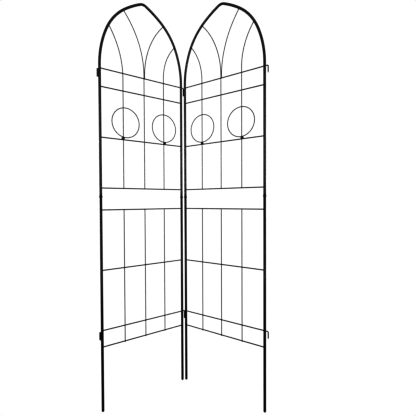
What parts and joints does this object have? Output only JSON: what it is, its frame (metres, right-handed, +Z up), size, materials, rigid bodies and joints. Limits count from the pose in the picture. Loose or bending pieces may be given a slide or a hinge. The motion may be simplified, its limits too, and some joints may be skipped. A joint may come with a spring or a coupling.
{
  "type": "garden trellis arch",
  "caption": "Free-standing garden trellis: pointed-arch panels of tube and wire, hung together by drop-in hooks, each splitting into an upper and a lower section.",
  "frame": {"origin": "the middle of the whole object's footprint, on the ground", "axes": "+Z up; +X to the right, from the left panel to the right one; the V of the panels opens towards -Y"},
  "size_m": [0.8748, 0.3238, 2.2],
  "materials": {
    "powder_coat": "satin black powder coat on welded steel",
    "foot_plastic": "moulded black plastic plug"
  },
  "bodies": {
    "right_lower": {"right_crossbar_5": "powder_coat", "right_crossbar_6": "powder_coat", "right_crossbar_7": "powder_coat", "right_crossbar_8": "powder_coat", "right_foot_cap_hinge": "foot_plastic", "right_foot_cap_outer": "foot_plastic", "right_joiner_hinge": "powder_coat", "right_joiner_outer": "powder_coat", "right_leg_hinge": "powder_coat", "right_leg_outer": "powder_coat", "right_sleeve_lower": "powder_coat", "right_upright_centre_lower": "powder_coat", "right_upright_hinge_lower": "powder_coat", "right_upright_outer_lower": "powder_coat"},
    "right_upper": {"right_arch_tube": "powder_coat", "right_centre_branch": "powder_coat", "right_crossbar_1": "powder_coat", "right_crossbar_2": "powder_coat", "right_crossbar_3": "powder_coat", "right_crossbar_4": "powder_coat", "right_ring_hinge": "powder_coat", "right_ring_outer": "powder_coat", "right_sleeve_upper": "powder_coat", "right_upright_centre_upper": "powder_coat", "right_upright_hinge_upper": "powder_coat", "right_upright_outer_upper": "powder_coat"},
    "left_lower": {"left_crossbar_5": "powder_coat", "left_crossbar_6": "powder_coat", "left_crossbar_7": "powder_coat", "left_crossbar_8": "powder_coat", "left_foot_cap_hinge": "foot_plastic", "left_foot_cap_outer": "foot_plastic", "left_joiner_hinge": "powder_coat", "left_joiner_outer": "powder_coat", "left_leg_hinge": "powder_coat", "left_leg_outer": "powder_coat", "left_sleeve_lower": "powder_coat", "left_upright_centre_lower": "powder_coat", "left_upright_hinge_lower": "powder_coat", "left_upright_outer_lower": "powder_coat"},
    "left_upper": {"left_arch_tube": "powder_coat", "left_centre_branch": "powder_coat", "left_crossbar_1": "powder_coat", "left_crossbar_2": "powder_coat", "left_crossbar_3": "powder_coat", "left_crossbar_4": "powder_coat", "left_ring_hinge": "powder_coat", "left_ring_outer": "powder_coat", "left_sleeve_upper": "powder_coat", "left_upright_centre_upper": "powder_coat", "left_upright_hinge_upper": "powder_coat", "left_upright_outer_upper": "powder_coat"}
  },
  "joints": [
    {"name": "panel_hinge", "type": "hinge", "parent": "right_lower", "child": "left_lower", "pos_m": [0.00088, 0.15767, 0.4], "axis": [0, 0, 1], "range_deg": [-179, 35]},
    {"name": "right_lift", "type": "slide", "parent": "right_lower", "child": "right_upper", "axis": [0, 0, 1], "range_m": [0, 0.045]},
    {"name": "left_lift", "type": "slide", "parent": "left_lower", "child": "left_upper", "axis": [0, 0, 1], "range_m": [0, 0.045]}
  ],
  "couplings": [
    {"joint": "left_lift", "follows": "right_lift", "ratio": 1}
  ]
}
